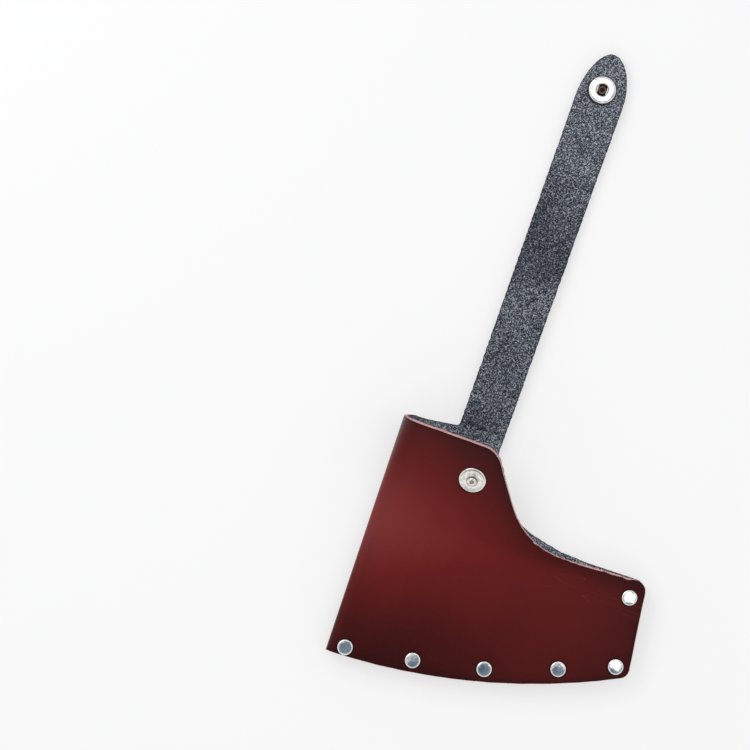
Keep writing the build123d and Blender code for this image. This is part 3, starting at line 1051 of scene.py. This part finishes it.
maker, given = geometry_tree("set_rivets", {
    "Rivet": "Object", "Tilt": "Float", "Seed": "Int", "Flip": "Float", "Finish": "Material",
})
random_tilt = maker.node("FunctionNodeRandomValue", {"data_type": "FLOAT_VECTOR"}, {
    "Min": (-1, -1, -SPIN), "Max": (1, 1, SPIN), "Seed": given["Seed"],
})["Value"]
tilt = maker.node("ShaderNodeVectorMath", {"operation": "SCALE"}, {
    0: random_tilt, "Scale": given["Tilt"],
})["Vector"]
flip = maker.node("ShaderNodeCombineXYZ", {}, {"X": given["Flip"]})["Vector"]
tilt = maker.node("ShaderNodeVectorMath", {"operation": "ADD"}, {0: tilt, 1: flip})["Vector"]
one = maker.node("GeometryNodeObjectInfo", {}, {"Object": given["Rivet"]})["Geometry"]
points = maker.node("GeometryNodeMeshToPoints", {}, {"Mesh": given["Geometry"]})["Points"]
tilt = maker.node("FunctionNodeEulerToRotation", {}, {"Euler": tilt})["Rotation"]
many = maker.node("GeometryNodeInstanceOnPoints", {}, {
    "Points": points, "Instance": one, "Rotation": tilt,
})["Instances"]
rivet_tree = end_tree(maker, many, given["Finish"])
print("rivet tree:", len(rivet_tree.nodes), "nodes")


# %% Set the rivets
BACK_INSET = 0.04  # keeps a tipped cap's rim off the table


def set_rivets(name, height, flip, tilt, seed, nodes):
    """The six caps of one face as one piece, each tipped by up to tilt degrees."""
    mesh = bpy.data.meshes.new(name)
    spots = [((ORIGIN.x + r.x) * MM, (ORIGIN.y + r.y) * MM, height * MM) for r in RIVETS]
    mesh.from_pydata(spots, [], [])
    piece = added(name, mesh)
    grown(piece, rivet_tree, {
        "Rivet": cap, "Tilt": math.radians(tilt), "Seed": seed, "Flip": flip,
        "Finish": nickel_finish,
    })
    piece.data.shade_smooth()
    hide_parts(*nodes)
    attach(piece, "sheath")
    print(name, len(piece.data.polygons), "faces")


set_rivets("rivet_caps", BACK_FACE + SEAM, 0.0, 1.6, 4,
           [f"rivet_cap_{i}" for i in RIVET_NUMBERS])
set_rivets("rivet_posts", BACK_FACE + BACK_INSET, math.pi, 0.4, 9,
           [f"rivet_post_{i}" for i in RIVET_NUMBERS])
bpy.data.objects.remove(cap)

# %% [markdown]
# ## The snap fastener
# The stud stands on the front panel, where the bulge tilts it towards the hem, so its seat
# comes from the slope of the bulge. The eyelet clamps it from inside the pocket. The socket is
# a thick pressed ring whose spring shows through the opening as two straight legs, and the cap
# holds it from the strap's outer face.

# %% Seats of the stud and of the socket
lean = math.atan(2 * MOUTH_RISE * (STUD_Y - BULGE_START) / (MOUTH_FRONT - BULGE_START) ** 2)
stud_foot = (ORIGIN.x + SNAP[0], ORIGIN.y + STUD_Y, BACK_FACE + SEAM + rise(STUD_Y))
stud_seat = Matrix.Translation(stud_foot) @ Matrix.Rotation(lean, 4, "X")
socket_foot = (ORIGIN.x + SNAP[0], ORIGIN.y + SNAP[1], BACK_FACE + SHEET["lining"][1])
socket_seat = Matrix.Translation(socket_foot)
print("stud leans", round(math.degrees(lean), 1), "degrees")

# %% Stud, eyelet, socket, cap
# The stud's dish and neck, the eyelet's dome and the inside of the socket and its cap are tarnished
# brown and painted with shade in these hollows.
stud = turned_piece("snap_stud_turned", [
    (1.45, -0.3), (6.45, -0.3), (6.75, 0.1), (6.72, 0.62), (6.45, 0.92), (6.0, 0.84),
    (5.6, 0.56, 0.15), (5.2, 0.44, 0.1), (4.4, 0.34), (3.6, 0.38), (3.0, 0.62, 0.1),
    (2.5, 0.95, 0.6), (1.95, 1.3, 1), (1.9, 2.1, 1), (2.35, 2.4, 0.2), (2.33, 2.7),
    (2.05, 2.88), (1.75, 2.93), (1.45, 2.9),
], stud_seat, 0.16, stud_finish)
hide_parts("snap_stud")
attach(stud, "sheath")

eyelet = turned_piece("snap_eyelet_turned", [
    (0.0, -2.75), (0.8, -2.9), (1.1, -3.35), (5.3, -3.35), (5.5, -3.1), (5.45, -2.66), (1.4, -2.66),
    (1.4, 2.9), (1.86, 2.92), (1.75, 3.08), (1.35, 3.1), (1.0, 2.85, 0.3), (0.75, 2.45, 0.8),
    (0.0, 2.35, 0.6),
], stud_seat, 0.14, stud_finish, closed=False)
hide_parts("snap_eyelet")
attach(eyelet, "sheath")

socket = turned_piece("snap_socket_turned", [
    (1.65, 0.0), (6.5, 0.0), (6.75, 0.25), (6.75, 2.4), (6.62, 2.8), (6.3, 3.05), (5.9, 3.15),
    (4.4, 3.2), (3.5, 3.19), (3.15, 3.05), (2.98, 2.75, 0.3), (3.0, 2.7, 1), (5.15, 2.7, 1),
    (5.15, 0.4, 1), (1.65, 0.4, 1),
], socket_seat, 0.2, nickel_finish)
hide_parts("snap_socket")
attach(socket, "strap_7")

snap_cap = turned_piece("snap_cap_turned", [
    (0.0, -2.7, 1), (0.9, -2.65, 1), (1.1, -2.4, 1), (1.1, 0.62, 1), (1.7, 0.7, 0.8),
    (2.3, 0.5, 1), (2.25, 0.42, 1), (1.6, 0.38, 1), (1.6, -2.55, 1), (7.2, -2.55), (7.5, -2.7),
    (7.48, -3.2), (6.8, -3.8), (5.6, -4.06), (0.0, -4.1),
], socket_seat, 0.25, nickel_finish, closed=False)
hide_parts("snap_cap")
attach(snap_cap, "strap_7")

# %% [markdown]
# ## Solids that stay
# The welt is hidden between the panels and the spring is a plain bent wire, so their solids are
# kept as they are and only get their finishes.

# %% Finishes of the kept solids
for node, material in (("edge_welt", welt_finish), ("snap_spring", wire_finish)):
    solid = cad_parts[node]
    solid.data.materials.clear()
    solid.data.materials.append(material)
    print(node, "wears", material.name)

# %% [markdown]
# ## Floor, light and camera
# A white table in a studio. The room is dark and bluish straight above and bright at its walls,
# so a level cap mirrors the dark and its rim the bright, which is what makes it look like
# metal. One wall is a window, on the side of the fold. A large softbox stands on that side too,
# and two small cards over the strap's tip and the heel light what lies there.

# %% White floor
FLOOR_HALF = 6.0
TABLE_WHITE = (0.93, 0.93, 0.93, 1)
GLOW_SHARE = 0.55  # of the table's white that cameras and mirrors see lit from itself
floor_mesh = bpy.data.meshes.new("floor")
floor_mesh.from_pydata([(x * FLOOR_HALF, y * FLOOR_HALF, 0)
                        for x, y in ((-1, -1), (1, -1), (1, 1), (-1, 1))], [], [(0, 1, 2, 3)])
floor = added("floor", floor_mesh)
table = bpy.data.materials.new("white_table")
maker = emptied(table)
paper = maker.node("ShaderNodeBsdfDiffuse", {}, {"Color": TABLE_WHITE})["BSDF"]
glow = maker.node("ShaderNodeEmission", {}, {"Color": (1, 1, 1, 1), "Strength": 1.0})["Emission"]
ray = maker.node("ShaderNodeLightPath")
seen = (ray["Is Camera Ray"] + ray["Is Glossy Ray"] + ray["Is Transmission Ray"]).at_most(1)
shown = maker.node("ShaderNodeMixShader", {}, {0: seen * GLOW_SHARE, 1: paper, 2: glow})["Shader"]
maker.node("ShaderNodeOutputMaterial", {}, {"Surface": shown})
floor_mesh.materials.append(table)

# %% Room
PATCH = (-0.01, -0.04)  # centre of the dark patch on the ceiling
TO_WINDOW = (-0.895, 0.446)
SKY = [  # how far a direction is from straight up, and the room's colour there
    (0.0, (0.01, 0.06, 0.15)), (0.05, (0.13, 0.20, 0.29)), (0.20, (0.30, 0.35, 0.40)),
    (0.36, (0.62, 0.63, 0.64)), (0.6, (0.86, 0.86, 0.86)), (1.0, (0.98, 0.98, 0.98)),
]
world = bpy.data.worlds.new("studio")
bpy.context.scene.world = world
maker = emptied(world)
direction = maker.node("ShaderNodeTexCoord")["Generated"]
way = maker.node("ShaderNodeSeparateXYZ", {}, {"Vector": direction})
east, north = way["X"] - PATCH[0], way["Y"] - PATCH[1]
window = (way["X"] * TO_WINDOW[0] + way["Y"] * TO_WINDOW[1]).over(0.005, 0.045)
aside = ((east * east + north * north) ** 0.5).at_least(window * 0.5)
sky = maker.node("ShaderNodeValToRGB", {"stops": SKY}, {"Fac": aside})["Color"]
light = maker.node("ShaderNodeBackground", {}, {"Color": sky, "Strength": 0.95})
maker.node("ShaderNodeOutputWorld", {}, {"Surface": light["Background"]})
print("room:", len(world.node_tree.nodes), "nodes")


# %% Lamps
def softbox(name, place, target, size, power):
    """Rectangular lamp that faces its target and isn't seen itself."""
    lamp = bpy.data.lights.new(name, "AREA")
    lamp.shape, lamp.size, lamp.size_y, lamp.energy = "RECTANGLE", size[0], size[1], power
    holder = added(name, lamp)
    holder.location = place
    holder.rotation_mode = "QUATERNION"
    holder.rotation_quaternion = (Vector(target) - Vector(place)).to_track_quat("-Z", "Y")
    holder.visible_camera = False


softbox("left", (-0.55, 0.42, 0.65), (0.0, 0.08, 0.0), (0.52, 0.52), 1.72)
softbox("tip_card", (0.045, 0.335, 0.80), (0.045, 0.335, 0.0), (0.16, 0.16), 0.12)
softbox("heel_card", (0.146, 0.064, 0.35), (0.146, 0.064, 0.0), (0.066, 0.064), 0.020)
print("lamps:", len(bpy.data.lights))

# %% Camera straight above, turned with the table
FRAME_WIDTH = 367.5 * MM
DISTANCE = 3.5
SENSOR = 36.0
TURN = math.atan2(0.3173, 0.9483)
VIEW_CENTRE = (-28.4 * MM, 131.1 * MM, 9 * MM)
camera = added("camera", bpy.data.cameras.new("camera"))
camera.data.sensor_width = SENSOR
camera.data.lens = SENSOR * DISTANCE / FRAME_WIDTH
camera.location = (VIEW_CENTRE[0], VIEW_CENTRE[1], DISTANCE + VIEW_CENTRE[2])
camera.rotation_euler = (0, 0, TURN)
bpy.context.scene.camera = camera
bpy.context.scene.view_settings.view_transform = "Standard"
